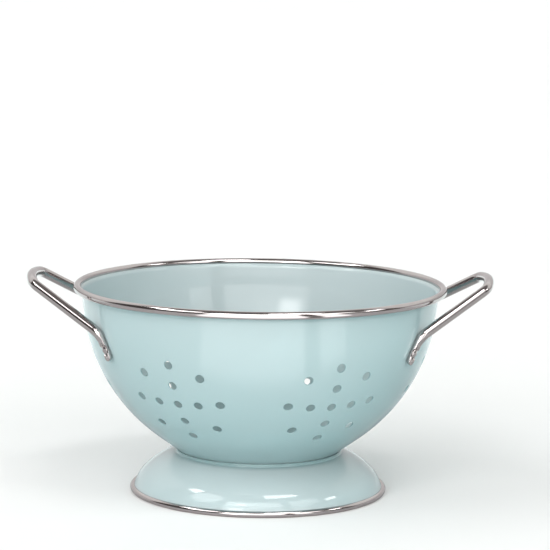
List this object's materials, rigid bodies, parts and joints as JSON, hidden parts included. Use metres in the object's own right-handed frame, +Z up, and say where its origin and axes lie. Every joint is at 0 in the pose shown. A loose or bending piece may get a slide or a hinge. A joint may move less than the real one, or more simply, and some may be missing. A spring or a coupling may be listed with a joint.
{
  "type": "footed colander",
  "caption": "Enamelled steel colander on a flared foot: deep round bowl with star patterns of drain holes, metal-banded rim and foot, and riveted bar handles.",
  "frame": {"origin": "on the floor under the centre of the bowl, in the plane that the foot band rests on", "axes": "+Z up, +X and -X through the handles, -Y the front"},
  "size_m": [0.2994, 0.24, 0.1425],
  "materials": {
    "enamel": "glossy vitreous enamel on pressed steel, pale duck-egg blue",
    "polished_steel": "polished stainless steel"
  },
  "bodies": {
    "root": {"bowl": "enamel", "foot": "enamel", "rim_band": "polished_steel", "foot_band": "polished_steel", "handle_left": "polished_steel", "handle_right": "polished_steel", "rivet_left_front": "polished_steel", "rivet_left_back": "polished_steel", "rivet_right_front": "polished_steel", "rivet_right_back": "polished_steel"}
  },
  "joints": []
}
